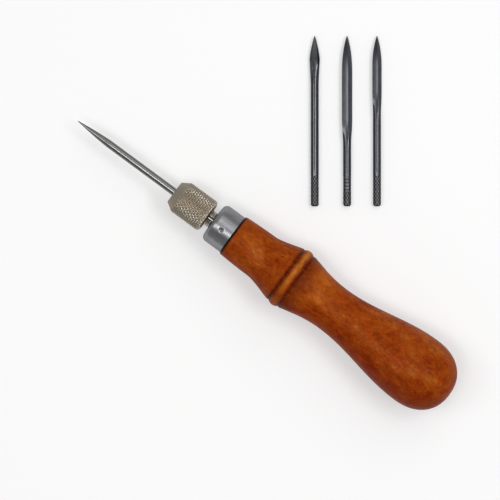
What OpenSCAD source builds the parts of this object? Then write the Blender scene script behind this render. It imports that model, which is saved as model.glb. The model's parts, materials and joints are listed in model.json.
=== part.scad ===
// Awl with a turned wooden haft, a collet chuck and four interchangeable points.
// One point is in the chuck and three lie loose beside the tool on the bench.
// Each turned piece is drawn along +Z, towards its point, and is then laid on the bench.

/* [Handle] */
// Length of the wood from the ferrule's rear edge to the butt
handle_len = 107.8; // [102:0.1:116]
// Diameter of the wood where it meets the ferrule
shoulder_d = 18.2; // [17.6:0.1:19]
// Rounding of the wood's edge beside the ferrule
shoulder_round = 1; // [0.4:0.1:1.3]
// Length of the finger barrel behind the ferrule
barrel_len = 14.4; // [10:0.1:18]
// Diameter of the finger barrel at its rear end
barrel_d = 19.1; // [18.4:0.1:20]
// How gently the wood leaves the barrel on its way up to the bead, where 1 is at once
rise_leave = 1.5; // [1:0.1:2.4]
// How gently the wood reaches the bead's front groove, where 1 is at once
rise_join = 1.2; // [1:0.1:2.4]
// Distance from the ferrule to the middle of the bead
bead_at = 29.2; // [27:0.1:32]
// Length of the bead between its two grooves
bead_w = 3.9; // [3:0.1:4.4]
// Diameter of the bead at its crest
bead_d = 26.3; // [26:0.1:27.2]
// Diameter of the wood at the grooves' lips
lip_d = 24.8; // [24.2:0.1:25.2]
// Length of each groove along the handle
groove_w = 1; // [0.6:0.1:1.3]
// Depth of each groove below its lips
groove_depth = 0.15; // [0.1:0.05:0.6]
// Distance from the ferrule to the narrowest place of the waist
waist_at = 50; // [47:0.1:54]
// Diameter of the waist
waist_d = 19.1; // [18:0.1:20]
// Radius of the hollow in front of the waist
waist_hollow_r = 50; // [40:1:56]
// Distance from the ferrule to the widest place of the bulb
bulb_at = 91; // [86:0.1:95]
// Diameter of the bulb
bulb_d = 29.4; // [27:0.1:31]
// Fullness of the rounded butt, where 2 is an ellipse
butt_power = 2.25; // [1.9:0.05:2.6]

/* [Ferrule] */
// Outside diameter of the ferrule
ferrule_d = 17; // [16:0.1:17.5]
// Length of the ferrule
ferrule_len = 9.4; // [8:0.1:11]
// Thickness of the ferrule's wall
ferrule_wall = 0.8; // [0.5:0.1:1.2]
// Rounding of the ferrule's front edge
ferrule_round = 2.1; // [1:0.1:2.4]
// Diameter of the brad that pins the ferrule
pin_d = 1.1; // [0.8:0.1:1.4]
// Length of the brad
pin_len = 3.4; // [2.6:0.1:3.9]
// Distance of the brad from the ferrule's rear edge
pin_at = 4.5; // [3.5:0.1:5.5]
// Angle of the brad away from straight up
pin_turn = 8; // [0:1:30]
// Radius of the punched dish around the brad
dish_r = 1.3; // [1:0.1:1.8]
// Depth of the punched dish
dish_depth = 0.35; // [0.2:0.05:0.45]

/* [Chuck] */
// Diameter of the threaded stem
stem_d = 7; // [6.6:0.1:7.6]
// Length of bare neck between the ferrule and the nut
neck_len = 2.4; // [1.6:0.1:3.2]
// Diameter of the tang that is driven into the wood
tang_d = 5.2; // [4.4:0.1:6]
// Depth of the tang's end below the ferrule's rear edge
tang_depth = 30; // [24:0.5:36]
// Depth of the stem's collar below the ferrule's rear edge
collar_depth = 2; // [1:0.1:4]
// Width of the slot that shows the point's tail
slot_w = 1.7; // [1.2:0.1:2.2]
// Depth of the slot's end behind the ferrule's front face
slot_sink = 1; // [0.5:0.1:1.5]
// Length of the collet
collet_len = 6.5; // [5.6:0.1:7.4]
// Length of the collet's cone
collet_cone_len = 3.4; // [2.8:0.1:3.8]
// Half angle of the collet's cone
collet_angle = 19; // [15:0.5:22]
// Width of the collet's slits
slit_w = 0.5; // [0.3:0.1:0.8]
// Length of the solid ring behind the collet's slits
slit_root = 1.4; // [1:0.1:2]
// Number of jaws in the collet
jaw_count = 4; // [2:2:6]
// Radial step from the stem's thread down to the collet
collet_step = 0.3; // [0.2:0.05:0.5]
// Length of the collet's two tongues, which keep it from turning in the stem's slot
tongue_len = 8.2; // [5:0.1:8.4]
// Length of the nut
nut_len = 16.9; // [15:0.1:20]
// Diameter of the nut
nut_d = 14.2; // [13:0.1:15.5]
// Diameter of the nut's front face
nut_nose_d = 9.6; // [8:0.1:10.5]
// Length of the nut's front taper
nut_nose_len = 3.6; // [3:0.1:5]
// Rounding of the nut's rear edge
nut_round = 1.7; // [0.8:0.1:2.2]
// Thickness of the nut's front wall ahead of the collet
nut_lip = 2; // [1.4:0.1:2.6]

/* [Points] */
// Length of every point
point_len = 68.4; // [60:0.1:80]
// Diameter of every point's shank
shank_d = 3.2; // [2.8:0.1:3.5]
// Chamfer of the tail's end
tail_chamfer = 0.6; // [0.3:0.1:0.9]
// Depth of the mounted point's tail behind the ferrule's front face
tail_sink = 1; // [0.4:0.1:1.4]
// Length of the round point's taper
round_taper_len = 16; // [10:0.5:22]
// Fullness of the round point's taper, where 1 is a straight cone
round_taper_power = 1.44; // [1:0.02:2]
// Diameter of the round point at its very tip
tip_d = 0.3; // [0.2:0.05:0.5]

/* [Loose points] */
// Width of the spear point
spear_w = 4.1; // [3.6:0.02:5]
// Thickness of the spear point
spear_t = 1.8; // [1.2:0.1:2.6]
// Share of the spear point's width that is flat on top
spear_flat = 0.55; // [0.3:0.05:0.8]
// Length of the spear point from tip to widest place
spear_nose_len = 9.7; // [7:0.1:12]
// Fullness of the spear point's nose, where 1 is straight
spear_nose_power = 1.5; // [1:0.05:2]
// Length over which the spear point runs out into its shank
spear_runout = 9.8; // [6:0.1:12]
// How gently the spear point runs out of its widest place, where 1 is at once
spear_leave = 1; // [1:0.1:2.4]
// How gently the spear point runs into its shank, where 1 is at once
spear_join = 1.3; // [1:0.1:2.4]
// Length over which the diamond points run out into their shanks
diamond_runout = 12.5; // [8:0.1:16]
// How gently the diamond points run out of their full size, where 1 is at once
diamond_leave = 2; // [1:0.1:2.4]
// How gently the diamond points run into their shanks, where 1 is at once
diamond_join = 2; // [1:0.1:2.4]
// Turn of the diamond points about their own length, as they lie
diamond_roll = 25; // [0:1:35]
// Width of the long diamond point across its cutting edges
long_w = 4.6; // [3.8:0.02:5.2]
// Thickness of the long diamond point across its ridges
long_t = 3.2; // [2.2:0.1:3.6]
// Length of the long diamond point from tip to full size
long_nose_len = 16; // [12:0.1:20]
// Fullness of the long diamond point's nose, where 1 is straight
long_nose_power = 2.6; // [1.5:0.1:3.5]
// Length of the long diamond point's ground part
long_ground_len = 45.8; // [38:0.1:50]
// Width of the short diamond point across its cutting edges
short_w = 4.16; // [3.6:0.02:5]
// Thickness of the short diamond point across its ridges
short_t = 2.9; // [2.2:0.1:3.6]
// Length of the short diamond point from tip to full size
short_nose_len = 12; // [9:0.1:16]
// Fullness of the short diamond point's nose, where 1 is straight
short_nose_power = 2.1; // [1.5:0.1:3.5]
// Length of the short diamond point's ground part
short_ground_len = 34.5; // [30:0.1:40]

/* [Layout on the bench] */
// Place of the spear point's tail, along the tool from the ferrule's rear edge
spare_x = -19.8; // [-30:0.1:0]
// Place of the spear point's tail, across the tool from its axis
spare_y = -28.8; // [-40:0.1:-24]
// Heading of the loose points, turned from the tool's own heading
spare_heading = -53.6; // [-80:0.1:-20]
// Gap between the middles of the spear point and the long diamond point
spare_gap_1 = 13; // [8:0.1:20]
// Gap between the middles of the two diamond points
spare_gap_2 = 12; // [8:0.1:20]

/* [Clearances] */
// Radial gap of parts that are pressed or driven together
press_gap = 0.02; // [0.01:0.01:0.05]
// Radial gap of parts that slide or turn on each other
running_gap = 0.05; // [0.02:0.01:0.1]
// Gap ahead of and behind the collet and behind the point's tail
end_gap = 0.2; // [0.1:0.05:0.3]
// Radial gap of the point in the nut's front hole
nose_gap = 0.35; // [0.2:0.05:0.5]

/* [Hidden] */
$fn = 96;

// Steps along a long curve
curve_steps = 14;
// Steps along a groove or around a rounded edge
round_steps = 6;
// Corners on a quarter of a loose point's section
section_steps = 6;
// Crowding of a loose point's sections towards its tip
tip_crowding = 1.3;
// Largest share of the space from the bead to the waist that the hollow's arc may take
hollow_share = 0.97;
// Smallest rounding inside the ferrule
least_round = 0.1;
// Extra length of a cutting tool past the face it cuts
cut_past = 1;

wood_colour = [0.55, 0.22, 0.09];
ferrule_colour = [0.62, 0.63, 0.65];
brad_colour = [0.22, 0.22, 0.23];
stem_colour = [0.70, 0.70, 0.70];
collet_colour = [0.78, 0.78, 0.80];
nut_colour = [0.60, 0.58, 0.54];
bright_colour = [0.82, 0.83, 0.85];
dark_colour = [0.25, 0.25, 0.28];

shank_r = shank_d / 2;
stem_r = stem_d / 2;
nut_r = nut_d / 2;
ferrule_r = ferrule_d / 2;
spigot_r = ferrule_r - ferrule_wall - press_gap;
spigot_len = ferrule_len - ferrule_wall;
// The cup's inside corner follows its outside one, and the spigot fills it
cup_round = max(least_round, ferrule_round - ferrule_wall);
// The wood keeps a ledge between its rounded edge and the spigot
shoulder_edge = min(shoulder_round, shoulder_d / 2 - spigot_r - press_gap);

// The chuck's stations along the tool, from the ferrule's rear edge
nut_rear = ferrule_len + neck_len;
nut_front = nut_rear + nut_len;
collet_rear = nut_front - nut_lip - collet_len;
stem_front = collet_rear - end_gap;
tail_at = ferrule_len - tail_sink;
bore_end = tail_at - end_gap;

// The collet fills the nut's thread less one step, and its cone narrows to the front
collet_r = stem_r - collet_step;
collet_nose_r = collet_r - collet_cone_len * tan(collet_angle);
grip_r = shank_r + press_gap;
nut_bore_r = stem_r + running_gap;
nose_hole_r = shank_r + nose_gap;

// The bead is one arc between its grooves' lips
lip_r = lip_d / 2;
bead_rise = (bead_d - lip_d) / 2;
bead_arc_r = (pow(bead_w / 2, 2) + pow(bead_rise, 2)) / (2 * bead_rise);
bead_centre_r = bead_d / 2 - bead_arc_r;

// The tool lies on its bead and its bulb, so its point end is a little lower
lay_tilt = atan2(bulb_d - bead_d, 2 * (bulb_at - bead_at));

// Runs from 0 to 1, gently at its start and its end as the two powers say
function ease(t, leave, join) = 1 - pow(1 - pow(t, leave), join);

// The corners of a quarter round, from its front face to its side
function round_edge(r, front, rounding) = [
    for (i = [0:round_steps])
    let (a = 90 * i / round_steps)
    [r - rounding * (1 - sin(a)), front - rounding * (1 - cos(a))]
];

// A curve that leaves one radius and reaches the next without a corner
function ogee(x0, r0, x1, r1) = [
    for (i = [1:curve_steps])
    let (t = i / curve_steps)
    [x0 + (x1 - x0) * t, r0 + (r1 - r0) * (1 - cos(180 * t)) / 2]
];

// A groove with a round bottom, from lip to lip
function groove(x0, r) = [
    for (i = [1:round_steps])
    let (a = 180 * i / round_steps)
    [x0 + groove_w * (1 - cos(a)) / 2, r - groove_depth * sin(a)]
];

// The bead's arc, from its front lip to its rear lip
function bead() =
    let (half_angle = asin(bead_w / 2 / bead_arc_r))
    [
        for (i = [1:curve_steps])
        let (a = half_angle * (2 * i / curve_steps - 1))
        [bead_at + bead_arc_r * sin(a), bead_centre_r + bead_arc_r * cos(a)]
    ];

// A straight taper from the rear lip, tangent to the hollow that ends at the waist
function hollow(x0, r0) =
    let (
        along = waist_at - x0,
        fall = r0 - waist_d / 2,
        whole_arc_r = (pow(along, 2) + pow(fall, 2)) / (2 * fall),
        arc_r = min(waist_hollow_r, hollow_share * whole_arc_r),
        centre_r = waist_d / 2 + arc_r,
        lip_angle = atan2(along, centre_r - r0),
        start_angle = lip_angle - acos(arc_r / norm([along, centre_r - r0]))
    )
    [
        for (i = [0:curve_steps])
        let (a = start_angle * (1 - i / curve_steps))
        [waist_at - arc_r * sin(a), centre_r - arc_r * cos(a)]
    ];

// The butt's round end, from the bulb to the tool's axis
function butt() = [
    for (i = [1:curve_steps])
    let (a = 90 * i / curve_steps)
    [
        bulb_at + (handle_len - bulb_at) * pow(sin(a), 2 / butt_power),
        i == curve_steps ? 0 : bulb_d / 2 * pow(cos(a), 2 / butt_power)
    ]
];

// The wood's rounded edge beside the ferrule
function shoulder() = [for (p = round_edge(shoulder_d / 2, 0, shoulder_edge)) [-p[1], p[0]]];

// The barrel swells gently from the shoulder to its rear end
function barrel() =
    let (r0 = shoulder_d / 2, r1 = barrel_d / 2)
    [
        for (i = [1:curve_steps])
        let (t = i / curve_steps)
        [shoulder_edge + (barrel_len - shoulder_edge) * t, r0 + (r1 - r0) * ease(t, 1, 2)]
    ];

// The wood's rise from the barrel to the lip in front of the bead
function rise(x1) =
    let (r0 = barrel_d / 2)
    [
        for (i = [1:curve_steps])
        let (t = i / curve_steps)
        [barrel_len + (x1 - barrel_len) * t, r0 + (lip_r - r0) * ease(t, rise_leave, rise_join)]
    ];

// The handle's whole outline, as distance from the ferrule and radius
function handle_outline() =
    let (
        front_lip = bead_at - bead_w / 2 - groove_w,
        rear_lip = bead_at + bead_w / 2
    )
    concat(
        shoulder(),
        barrel(),
        rise(front_lip),
        groove(front_lip, lip_r),
        bead(),
        groove(rear_lip, lip_r),
        hollow(rear_lip + groove_w, lip_r),
        ogee(waist_at, waist_d / 2, bulb_at, bulb_d / 2),
        butt()
    );

// The bench touches the lowest place of the handle as it lies
bench_z = min([for (p = handle_outline()) p[0] * sin(lay_tilt) - p[1] * cos(lay_tilt)]);

// Lays a turned piece of the tool on the bench
module lay_tool() {
    rotate([0, 90 + lay_tilt, 0])
        children();
}

// Lays a loose point on the bench, a given way to the right of the first one
module lay_point(aside, roll) {
    translate([spare_x, spare_y, bench_z + shank_r])
        rotate([0, 0, spare_heading])
            translate([0, -aside, 0])
                rotate([0, 90, 0])
                    rotate([0, 0, roll])
                        children();
}

// Turns a radial tool to the brad's place in the ferrule
module at_pin() {
    translate([0, 0, pin_at])
        rotate([0, -90, -pin_turn])
            children();
}

module handle() {
    wood = [for (p = handle_outline()) [p[1], -p[0]]];
    color(wood_colour)
        lay_tool()
            difference() {
                rotate_extrude()
                    polygon(concat(
                        [[0, spigot_len]],
                        round_edge(spigot_r, spigot_len, cup_round),
                        [[spigot_r, 0]],
                        wood
                    ));
                translate([0, 0, -collar_depth])
                    cylinder(r = stem_r + press_gap, h = collar_depth + spigot_len + cut_past);
                translate([0, 0, -tang_depth])
                    cylinder(r = tang_d / 2 + press_gap, h = tang_depth);
                at_pin()
                    translate([0, 0, ferrule_r - dish_depth - pin_len - press_gap])
                        cylinder(d = pin_d + 2 * press_gap, h = pin_len);
            }
}

module ferrule() {
    outside = round_edge(ferrule_r, ferrule_len, ferrule_round);
    bore_r = ferrule_r - ferrule_wall;
    hole_r = stem_r + press_gap;
    inside = round_edge(bore_r, spigot_len, cup_round);
    // The dish is cut by a ball whose cap has the dish's radius and depth
    ball_r = (pow(dish_r, 2) + pow(dish_depth, 2)) / (2 * dish_depth);
    color(ferrule_colour)
        lay_tool()
            difference() {
                rotate_extrude()
                    polygon(concat(
                        [[hole_r, spigot_len], [hole_r, ferrule_len]],
                        outside,
                        [[ferrule_r, 0], [bore_r, 0]],
                        [for (i = [0:round_steps]) inside[round_steps - i]]
                    ));
                at_pin()
                    translate([0, 0, bore_r - cut_past])
                        cylinder(d = pin_d + 2 * press_gap, h = ferrule_wall + 2 * cut_past);
                at_pin()
                    translate([0, 0, ferrule_r - dish_depth + ball_r])
                        sphere(r = ball_r);
            }
}

module ferrule_pin() {
    color(brad_colour)
        lay_tool()
            at_pin()
                translate([0, 0, ferrule_r - dish_depth - pin_len])
                    cylinder(d = pin_d, h = pin_len);
}

module chuck_stem() {
    tang_r = tang_d / 2;
    tang_point = tang_r / 2;
    mouth_chamfer = collet_step;
    slot_middle = ferrule_len - slot_sink + slot_w / 2;
    color(stem_colour)
        lay_tool()
            difference() {
                rotate_extrude()
                    polygon([
                        [0, -tang_depth],
                        [tang_r - tang_point, -tang_depth],
                        [tang_r, tang_point - tang_depth],
                        [tang_r, -collar_depth],
                        [stem_r, -collar_depth],
                        [stem_r, stem_front - mouth_chamfer],
                        [stem_r - mouth_chamfer, stem_front],
                        [0, stem_front],
                    ]);
                translate([0, 0, bore_end])
                    cylinder(r = shank_r + running_gap, h = stem_front - bore_end + cut_past);
                translate([0, 0, slot_middle])
                    rotate([0, 90, 0])
                        cylinder(d = slot_w, h = stem_d + 2 * cut_past, center = true);
                translate([-stem_r - cut_past, -slot_w / 2, slot_middle])
                    cube([stem_d + 2 * cut_past, slot_w, stem_front - slot_middle + cut_past]);
            }
}

module collet() {
    tongue_w = slot_w - 2 * running_gap;
    color(collet_colour)
        lay_tool()
            translate([0, 0, collet_rear])
                difference() {
                    rotate_extrude()
                        polygon([
                            [grip_r, -tongue_len],
                            [collet_r, -tongue_len],
                            [collet_r, collet_len - collet_cone_len],
                            [collet_nose_r, collet_len],
                            [grip_r, collet_len],
                        ]);
                    for (i = [0:jaw_count - 1])
                        rotate([0, 0, 360 / jaw_count * (i + 0.5)])
                            translate([0, -slit_w / 2, slit_root])
                                cube([stem_d, slit_w, collet_len]);
                    // Behind the jaws only the two tongues are left of the tube
                    for (side = [0, 180])
                        rotate([0, 0, side])
                            translate([-stem_r, tongue_w / 2, -tongue_len - cut_past])
                                cube([stem_d, stem_r, tongue_len + cut_past]);
                }
}

module chuck_nut() {
    rear_edge = [for (p = round_edge(nut_r, 0, nut_round)) [p[0], -p[1]]];
    // The nut's cone runs along the collet's, one running gap outside it
    slope = tan(collet_angle);
    seat_gap = running_gap / cos(collet_angle);
    cone_rear = nut_len - nut_lip - collet_cone_len - (nut_bore_r - collet_r - seat_gap) / slope;
    cone_front = cone_rear + (nut_bore_r - nose_hole_r) / slope;
    color(nut_colour)
        lay_tool()
            translate([0, 0, nut_rear])
                rotate_extrude()
                    polygon(concat(
                        [[nut_bore_r, 0]],
                        rear_edge,
                        [
                            [nut_r, nut_len - nut_nose_len],
                            [nut_nose_d / 2, nut_len],
                            [nose_hole_r, nut_len],
                            [nose_hole_r, cone_front],
                            [nut_bore_r, cone_rear],
                        ]
                    ));
}

// A round shank with its chamfered tail at the origin
module shank(len) {
    rotate_extrude()
        polygon([
            [0, 0],
            [shank_r - tail_chamfer, 0],
            [shank_r, tail_chamfer],
            [shank_r, len],
            [0, len],
        ]);
}

module round_point() {
    taper_from = point_len - round_taper_len;
    tip_r = tip_d / 2;
    taper = [
        for (i = [0:curve_steps])
        let (t = i / curve_steps)
        [
            tip_r + (shank_r - tip_r) * (1 - pow(t, round_taper_power)),
            taper_from + round_taper_len * t
        ]
    ];
    color(bright_colour)
        lay_tool()
            translate([0, 0, tail_at])
                rotate_extrude()
                    polygon(concat(
                        [[0, 0], [shank_r - tail_chamfer, 0], [shank_r, tail_chamfer]],
                        taper,
                        [[0, point_len]]
                    ));
}

// A quarter of a ground section: a bevel from the edge up, then any flat to the middle
function quarter(half_w, half_t, flat) =
    let (bevel_steps = flat > 0 ? section_steps / 2 : section_steps)
    [
        for (i = [0:section_steps])
        i <= bevel_steps
            ? [half_w + (flat - half_w) * i / bevel_steps, half_t * i / bevel_steps]
            : [flat * (section_steps - i) / (section_steps - bevel_steps), half_t]
    ];

// A quarter of a round section with as many corners
function round_quarter(r) = [
    for (i = [0:section_steps])
    r * [cos(90 * i / section_steps), sin(90 * i / section_steps)]
];

// A whole ring from a quarter, with width across Y and thickness across X
function ring(q, z) = [
    for (turn = [0:3], i = [0:section_steps - 1])
    let (
        p = turn % 2 == 0 ? q[i] : q[section_steps - i],
        side = turn == 0 || turn == 3 ? 1 : -1,
        face = turn < 2 ? 1 : -1
    )
    [face * p[1], side * p[0], z]
];

// A loose point, ground from its tip to full size and running out into a round shank
module ground_point(half_w, half_t, flat_share, nose_len, nose_power, ground_len, runout, leave, join) {
    corners = 4 * section_steps;
    runout_steps = curve_steps / 2;
    tip_r = tip_d / 2;
    least = tip_r / half_w;
    blend_r = shank_r - press_gap;
    nose = [
        for (i = [0:curve_steps])
        tip_r + (nose_len - tip_r) * pow(i / curve_steps, tip_crowding)
    ];
    parallel = ground_len - runout > nose_len + tip_r ? [ground_len - runout] : [];
    tail = [for (i = [1:runout_steps]) ground_len - runout * (1 - i / runout_steps)];
    rings = [
        for (d = concat(nose, parallel, tail, [ground_len + cut_past]))
        let (
            grown = d < nose_len ? 1 - (1 - least) * pow(1 - d / nose_len, nose_power) : 1,
            run = min(1, max(0, (d - ground_len + runout) / runout)),
            blend = ease(run, leave, join),
            ground = quarter(half_w * grown, half_t * grown, half_w * grown * flat_share)
        )
        ring((1 - blend) * ground + blend * round_quarter(blend_r), point_len - d)
    ];
    last = len(rings) - 1;
    sides = [
        for (k = [0:last - 1], i = [0:corners - 1])
        let (a = k * corners + i, b = k * corners + (i + 1) % corners)
        each [[a, b + corners, b], [a, a + corners, b + corners]]
    ];
    // The tip and the end inside the shank each fan out from one point
    tip = len(rings) * corners;
    ends = [
        for (i = [0:corners - 1])
        let (next = (i + 1) % corners)
        each [[tip, i, next], [tip + 1, last * corners + next, last * corners + i]]
    ];
    middles = [[0, 0, point_len], [0, 0, point_len - ground_len - cut_past]];
    union() {
        shank(point_len - ground_len);
        polyhedron(points = concat([for (r = rings) each r], middles), faces = concat(sides, ends));
    }
}

module spear_point() {
    ground_len = spear_nose_len + spear_runout;
    color(dark_colour)
        lay_point(0, 0)
            ground_point(
                spear_w / 2, spear_t / 2, spear_flat,
                spear_nose_len, spear_nose_power, ground_len, spear_runout, spear_leave, spear_join
            );
}

module diamond_point(w, t, nose_len, nose_power, ground_len) {
    color(dark_colour)
        ground_point(
            w / 2, t / 2, 0,
            nose_len, nose_power, ground_len, diamond_runout, diamond_leave, diamond_join
        );
}

module long_diamond_point() {
    lay_point(spare_gap_1, diamond_roll)
        diamond_point(long_w, long_t, long_nose_len, long_nose_power, long_ground_len);
}

module short_diamond_point() {
    lay_point(spare_gap_1 + spare_gap_2, diamond_roll)
        diamond_point(short_w, short_t, short_nose_len, short_nose_power, short_ground_len);
}

handle();
ferrule();
ferrule_pin();
chuck_stem();
collet();
chuck_nut();
round_point();
spear_point();
long_diamond_point();
short_diamond_point();
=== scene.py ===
"""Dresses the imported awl: a stained haft, a knurled chuck and ground points on a pale bench."""
import json
import math

import bmesh
import bpy
from mathutils import Matrix, Vector


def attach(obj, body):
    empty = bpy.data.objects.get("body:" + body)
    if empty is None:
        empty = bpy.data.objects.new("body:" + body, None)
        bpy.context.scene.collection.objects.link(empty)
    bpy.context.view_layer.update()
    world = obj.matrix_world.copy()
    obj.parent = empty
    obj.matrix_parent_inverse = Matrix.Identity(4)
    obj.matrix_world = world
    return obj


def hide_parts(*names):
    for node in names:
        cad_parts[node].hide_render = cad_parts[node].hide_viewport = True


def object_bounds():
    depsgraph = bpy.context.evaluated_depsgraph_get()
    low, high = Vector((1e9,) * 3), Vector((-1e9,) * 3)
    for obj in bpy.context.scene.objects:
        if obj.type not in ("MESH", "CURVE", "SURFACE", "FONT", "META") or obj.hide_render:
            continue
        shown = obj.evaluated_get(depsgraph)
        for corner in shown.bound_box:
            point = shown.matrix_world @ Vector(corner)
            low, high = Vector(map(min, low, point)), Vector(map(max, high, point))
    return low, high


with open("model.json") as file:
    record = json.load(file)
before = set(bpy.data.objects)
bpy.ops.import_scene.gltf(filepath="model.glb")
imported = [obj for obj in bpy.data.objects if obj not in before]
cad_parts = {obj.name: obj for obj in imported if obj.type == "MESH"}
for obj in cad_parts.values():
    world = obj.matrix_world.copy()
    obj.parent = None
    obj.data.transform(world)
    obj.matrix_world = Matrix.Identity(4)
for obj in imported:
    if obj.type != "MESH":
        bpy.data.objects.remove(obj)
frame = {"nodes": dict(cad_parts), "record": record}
cad_low, cad_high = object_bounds()

# Sizes are in millimetres here, and the meshes are written in metres
MM = 0.001
TAU = 2 * math.pi
# Edges that turn by more than this stay sharp
SHARP_ANGLE = math.radians(32)

# Handle
HANDLE_LEN = 107.8
SHOULDER_R = 9.1
SHOULDER_ROUND = 1.0
BARREL_LEN = 14.4
BARREL_R = 9.55
BARREL_LEAVE = 1.0
BARREL_JOIN = 2.0
RISE_LEAVE = 1.5
RISE_JOIN = 1.2
BEAD_AT = 29.2
BEAD_W = 3.9
BEAD_R = 13.15
LIP_R = 12.4
GROOVE_W = 1.0
GROOVE_DEPTH = 0.15
WAIST_AT = 50.0
WAIST_R = 9.55
WAIST_HOLLOW_R = 50.0
BULB_AT = 91.0
BULB_R = 14.7
BUTT_POWER = 2.25

# Tones of the wood, with painted light and shade among them. A side runs from -1 on the haft's -Y
# side to 1 on its +Y side, and fades away nearer to the axis than the least radius
LEAST_R = 0.1
# Stain gathered in the grooves beside the bead, with painted shade that reaches past their lips:
# its strength and reach
GROOVE_STAIN_AND_SHADE = 0.95
GROOVE_STAIN_AND_SHADE_REACH = 1.5
# The painted shade on the haft's +Y side is full from this side on, and has this strength at the
# shoulder
PAINTED_SHADE_FULL_SIDE = 0.8
PAINTED_SHADE_LEAST = 0.3
# Stretches over which the painted shade on the +Y side deepens: the start, the end and by how much
PAINTED_SHADE_STRETCHES = ((12.0, 18.0, 0.2), (50.0, 72.0, 0.5))
# The painted shade mixes this far towards a darker tone, which this tint makes redder
PAINTED_SHADE_MIX = 0.36
PAINTED_SHADE_TINT = (1.0, 0.76, 0.7, 1.0)
# The bead's wear, with painted light on it: its strength and its reach from the bead's middle
BEAD_WEAR = 0.75
BEAD_WEAR_REACH = 1.7
# The bead's wear and painted light lose this share from the first of these sides to the second, as
# painted shade on the +Y side
BEAD_LIGHT_LOSS = 0.75
BEAD_LIGHT_SIDES = (0.1, 0.6)
# Stretches of painted light that make the wood paler: the middle, the half width and how pale. They
# fade out at this side
PAINTED_LIGHT_PLACES = ((41.0, 13.0, 0.3), (7.0, 9.0, 0.14))
PAINTED_LIGHT_END_SIDE = 0.5
# Painted shadow in the seam behind the ferrule is full up to the first place and fades out at the
# second
SEAM_SHADOW_FROM = 0.5
SEAM_SHADOW_TO = 1.5

# Features of the wood's pattern along X, Y and Z
BLOTCHES = (5, 5, 8)
RED_PATCHES = (4, 4, 8)
MOTTLE = (1.1, 1.1, 1.8)
MOTTLE_DEPTH = 0.02
GRAIN = (0.4, 0.4, 6)
FLECKS = (0.5, 0.5, 1.5)
PORES = (4.5, 4.5, 6)
STAIN_PATCHES = (1.6, 1.6, 1.6)
RUBBED_PATCHES = (2.2, 2.2, 2.2)

# Features of the marks on the metals along X, Y and Z
TURNED_MARKS = (6, 6, 0.12)
BRAD_MARKS = (0.4, 0.4, 0.4)
STEM_MARKS = (0.5, 0.5, 0.5)
NUT_MARKS = (0.8, 0.8, 0.8)
BRIGHT_MARKS = (0.35, 0.35, 9)
DARK_MARKS = (0.3, 0.3, 7)
PATINA = (3, 3, 3)
MARK_DEPTH = 0.003
BRIGHT_MARK_DEPTH = 0.001
DARK_MARK_DEPTH = 0.002
# The marks change a metal's roughness by this share, up and down
GLOSS_SPREAD = 0.15
# The stretched gloss of drawn metal is turned by this share of a whole turn
DRAWN_TURN = 0.25

# Ferrule and its brad
FERRULE_R = 8.5
FERRULE_LEN = 9.4
FERRULE_WALL = 0.8
FERRULE_ROUND = 2.1
BRAD_R = 0.55
BRAD_LEN = 3.4
BRAD_AT = 4.5
BRAD_TURN = math.radians(8)
BRAD_TIP_SHARE = 0.6
BRAD_TIP_LEN = 0.5
BRAD_DOME_SINK = 0.1
BRAD_DOME_HEIGHT = 0.16
DISH_R = 1.2
DISH_DEPTH = 0.35
DISH_POWER = 1.3
# Painted shade in the dish is full within this radius and has this strength
DISH_FLOOR_R = 0.4
DISH_SHADE = 0.5

# Chuck
STEM_R = 3.5
NECK_LEN = 2.4
TANG_R = 2.6
TANG_DEPTH = 30.0
COLLAR_DEPTH = 2.0
SLOT_W = 1.7
SLOT_SINK = 1.0
# The slot's cutter reaches past the stem by this much
CUT_OVER = 1.0
THREAD_PITCH = 1.0
THREAD_DEPTH = 0.12
# The thread starts this far inside the ferrule's front and fades in
THREAD_SINK = 1.2
THREAD_FADE = 0.6
THREAD_DARK = 0.8
COLLET_LEN = 6.5
COLLET_CONE_LEN = 3.4
COLLET_R = 3.2
COLLET_SLOPE = math.tan(math.radians(19))
NUT_LEN = 16.9
NUT_R = 7.1
NUT_NOSE_R = 4.8
NUT_NOSE_LEN = 3.6
NUT_ROUND = 1.7
NUT_LIP = 2.0
NUT_KNURL_STARTS = 32
NUT_KNURL_PITCH = 1.95
NUT_KNURL_DEPTH = 0.47
NUT_KNURL_LAND = 0.12
# What lies this far inside the nose's radius counts as the nut's inside
NUT_INSIDE_MARGIN = 0.1
NUT_INSIDE_DARK = 0.5
# A knurl is darkened from this share of its depth down
KNURL_CREST = 0.1

# Points
POINT_LEN = 68.4
SHANK_R = 1.6
TAIL_CHAMFER = 0.6
TAIL_SINK = 1.0
TIP_R = 0.15
# Sections of a loose point crowd towards its tip by this power
TIP_CROWDING = 1.3
ROUND_TAPER_LEN = 16.0
ROUND_TAPER_POWER = 1.44
TAIL_KNURL_LEN = 12.3
TAIL_KNURL_STARTS = 8
TAIL_KNURL_PITCH = 1.7
TAIL_KNURL_DEPTH = 0.11
TAIL_KNURL_LAND = 0.42
TAIL_KNURL_FADE = 0.3
# The dull finish of a tail fades out over this length
TAIL_MATT_FADE = 0.4
# Crests are rubbed bare down to this share of the knurl's depth
TAIL_RUB = 0.4
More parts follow.
